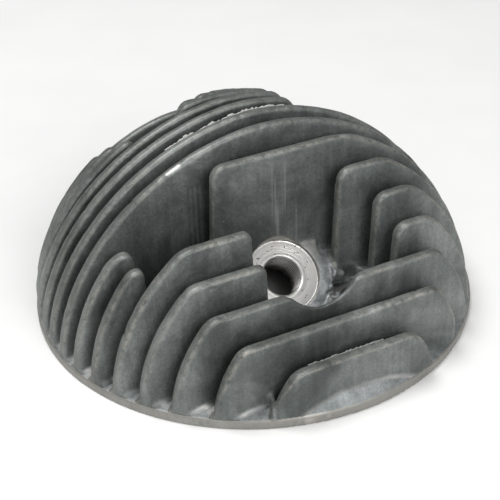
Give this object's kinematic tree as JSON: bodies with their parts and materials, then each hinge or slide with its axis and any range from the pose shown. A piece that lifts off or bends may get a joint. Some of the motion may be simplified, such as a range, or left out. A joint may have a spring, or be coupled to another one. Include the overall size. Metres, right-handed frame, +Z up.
{
  "type": "cylinder head",
  "caption": "Round finned aluminium cylinder head for an air-cooled small engine, with an inclined spark plug seat, a domed chamber and holes for cylinder studs.",
  "frame": {"origin": "centre of the gasket face, which is the middle of the base", "axes": "+X along the fins; -Y towards the spark plug side; +Z up, away from the cylinder"},
  "size_m": [0.15, 0.15, 0.0689],
  "materials": {
    "cast_fin": "as-cast, dark grey, worn at the tips",
    "cast_core": "as-cast, dark grey",
    "machined": "turned, bright"
  },
  "bodies": {
    "root": {"base_flange": "cast_core", "deck": "cast_core", "chamber_dome": "cast_core", "stud_boss_rear_right": "cast_core", "stud_boss_rear_left": "cast_core", "stud_boss_front_left": "cast_core", "stud_boss_front_right": "cast_core", "plug_boss": "machined", "cooling_fin_01": "cast_fin", "cooling_fin_02": "cast_fin", "cooling_fin_03": "cast_fin", "cooling_fin_04": "cast_fin", "cooling_fin_05": "cast_fin", "cooling_fin_06": "cast_fin", "cooling_fin_07": "cast_fin", "cooling_fin_08": "cast_fin", "cooling_fin_09": "cast_fin", "cooling_fin_10": "cast_fin", "cooling_fin_11": "cast_fin", "cooling_fin_12": "cast_fin", "cooling_fin_13": "cast_fin", "cooling_fin_14": "cast_fin", "cooling_fin_15": "cast_fin", "cooling_fin_16": "cast_fin", "cooling_fin_17": "cast_fin"}
  },
  "joints": []
}
